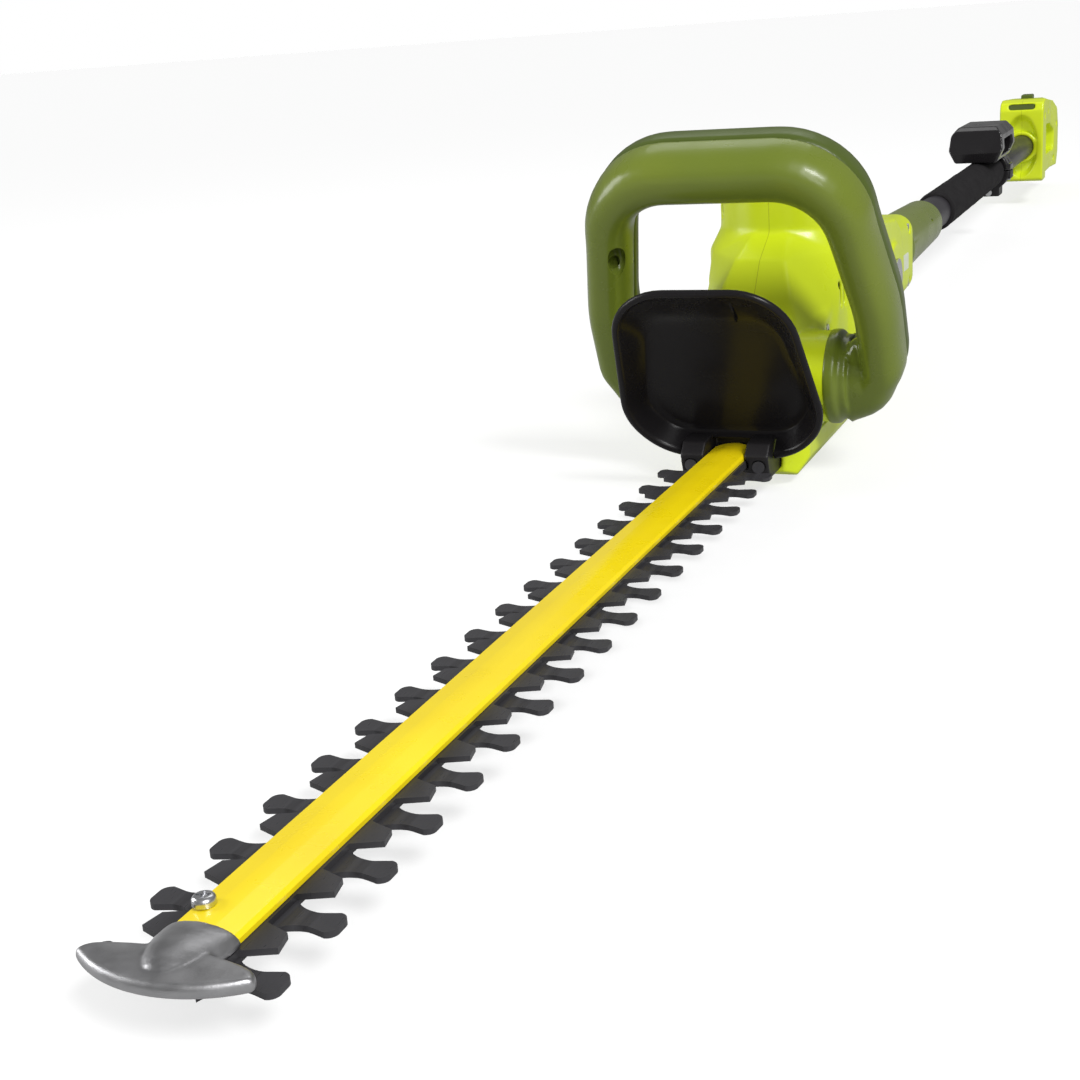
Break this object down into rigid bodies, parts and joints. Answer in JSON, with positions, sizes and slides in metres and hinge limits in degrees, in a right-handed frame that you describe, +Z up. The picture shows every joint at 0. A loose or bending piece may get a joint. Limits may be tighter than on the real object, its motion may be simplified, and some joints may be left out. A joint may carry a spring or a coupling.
{
  "type": "pole hedge trimmer",
  "caption": "Telescoping pole hedge trimmer: tilting motor head with a loop handle, a hand shield and a double-sided blade bar, a swivelling assist grip and a rear handle with a trigger.",
  "frame": {"origin": "centre of the bottom of the tool's bounding box, under the pole, level with the flat base of the head", "axes": "+X to the tool's side with the screw heads, opposite the hinge lock, +Y along the pole from the blade tip to the rear handle, +Z up"},
  "size_m": [0.1768, 2.0834, 0.1893],
  "materials": {
    "blade_steel": "satin black-oxide steel with bright ground bevels",
    "plain_steel": "bright zinc-plated steel",
    "yellow_bar": "smooth yellow powder coat",
    "cast_aluminium": "as-cast, tumbled",
    "lime_plastic": "semi-gloss moulded ABS",
    "olive_plastic": "semi-gloss moulded plastic",
    "olive_dark_plastic": "semi-gloss moulded plastic",
    "black_gloss_plastic": "glossy moulded plastic",
    "black_plastic": "fine-textured moulded plastic",
    "pole_paint": "satin powder coat",
    "foam": "closed-cell foam, matt",
    "button_grey": "satin moulded plastic",
    "brass": "drawn",
    "copper_windings": "varnished winding",
    "nylon": "natural nylon",
    "carbon": "pressed carbon"
  },
  "bodies": {
    "rear_pole": {"outer_tube": "pole_paint", "pole_collet": "nylon", "foam_grip": "foam", "handle_left": "lime_plastic", "handle_right": "lime_plastic", "handle_screws": "plain_steel", "handle_trim": "olive_dark_plastic", "trigger_pin": "plain_steel", "switch_body": "black_plastic", "trigger_spring": "plain_steel", "lock_off_spring": "plain_steel", "inlet_body": "black_plastic", "inlet_blades": "brass"},
    "collar": {"twist_collar": "olive_plastic"},
    "grip": {"assist_grip": "black_gloss_plastic", "grip_clamp": "black_plastic", "clamp_screws": "plain_steel"},
    "trigger": {"trigger": "black_plastic"},
    "lock_off": {"lock_off_button": "olive_dark_plastic"},
    "front_pole": {"inner_tube": "pole_paint", "arm_left": "lime_plastic", "arm_right": "lime_plastic", "arm_screws": "plain_steel"},
    "head": {"head_left": "lime_plastic", "head_right": "lime_plastic", "head_screws": "plain_steel", "base_plate": "lime_plastic", "base_screws": "plain_steel", "gearbox_plate": "cast_aluminium", "shaft_bearings": "plain_steel", "motor_can": "plain_steel", "motor_magnets": "carbon", "carbon_brushes": "carbon", "pivot_pin": "plain_steel", "lock_spring": "plain_steel", "support_bar": "blade_steel", "bar_cover": "yellow_bar", "guide_studs": "plain_steel", "flange_nuts": "plain_steel", "bar_bolts": "plain_steel", "tip_guard": "cast_aluminium", "tip_screw": "plain_steel", "hand_shield": "black_gloss_plastic", "bar_carrier": "black_plastic", "shield_screws": "plain_steel", "loop_front": "olive_plastic", "loop_rear": "olive_dark_plastic", "loop_screws": "plain_steel"},
    "hinge_lock": {"lock_button": "button_grey"},
    "lower_knife": {"lower_blade": "blade_steel"},
    "upper_knife": {"upper_blade": "blade_steel"},
    "crank": {"crank_shaft": "plain_steel", "lower_cam": "plain_steel", "upper_cam": "plain_steel", "drive_gear": "nylon"},
    "rotor": {"motor_shaft": "plain_steel", "rotor_core": "copper_windings", "cooling_fan": "nylon", "pinion": "plain_steel"}
  },
  "joints": [
    {"name": "pole_slide", "type": "slide", "parent": "rear_pole", "child": "front_pole", "axis": [0, -1, 0], "range_m": [0, 0.6]},
    {"name": "collar_twist", "type": "hinge", "parent": "rear_pole", "child": "collar", "pos_m": [0, 0.01375, 0.066], "axis": [0, 1, 0], "range_deg": [0, 70]},
    {"name": "grip_swivel", "type": "hinge", "parent": "rear_pole", "child": "grip", "pos_m": [0, 0.53675, 0.066], "axis": [0, 1, 0], "range_deg": [-90, 90]},
    {"name": "trigger_squeeze", "type": "hinge", "parent": "rear_pole", "child": "trigger", "pos_m": [0, 0.88575, 0.092], "axis": [1, 0, 0], "range_deg": [0, 6], "stiffness_Nm_per_rad": 0.6, "springref_deg": -6.88, "deforming": ["trigger_spring"]},
    {"name": "lock_off_press", "type": "slide", "parent": "rear_pole", "child": "lock_off", "axis": [0, 0, -1], "range_m": [0, 0.003], "stiffness_N_per_m": 600, "springref_m": -0.001, "deforming": ["lock_off_spring"]},
    {"name": "head_tilt", "type": "hinge", "parent": "front_pole", "child": "head", "pos_m": [0, -0.19425, 0.066], "axis": [1, 0, 0], "range_deg": [-45, 90]},
    {"name": "hinge_lock_press", "type": "slide", "parent": "head", "child": "hinge_lock", "axis": [1, 0, 0], "range_m": [0, 0.004], "stiffness_N_per_m": 800, "springref_m": -0.001, "deforming": ["lock_spring"]},
    {"name": "lower_blade_slide", "type": "slide", "parent": "head", "child": "lower_knife", "axis": [0, 1, 0], "range_m": [-0.00775, 0.00775]},
    {"name": "upper_blade_slide", "type": "slide", "parent": "head", "child": "upper_knife", "axis": [0, 1, 0], "range_m": [-0.00775, 0.00775]},
    {"name": "rotor_spin", "type": "hinge", "parent": "head", "child": "rotor", "pos_m": [0, -0.36125, 0.074], "axis": [0, 0, 1], "continuous": true},
    {"name": "crank_spin", "type": "hinge", "parent": "head", "child": "crank", "pos_m": [0, -0.39875, 0.019], "axis": [0, 0, 1], "continuous": true}
  ],
  "couplings": [
    {"joint": "upper_blade_slide", "follows": "lower_blade_slide", "ratio": -1},
    {"joint": "crank_spin", "follows": "rotor_spin", "ratio": -0.25}
  ]
}
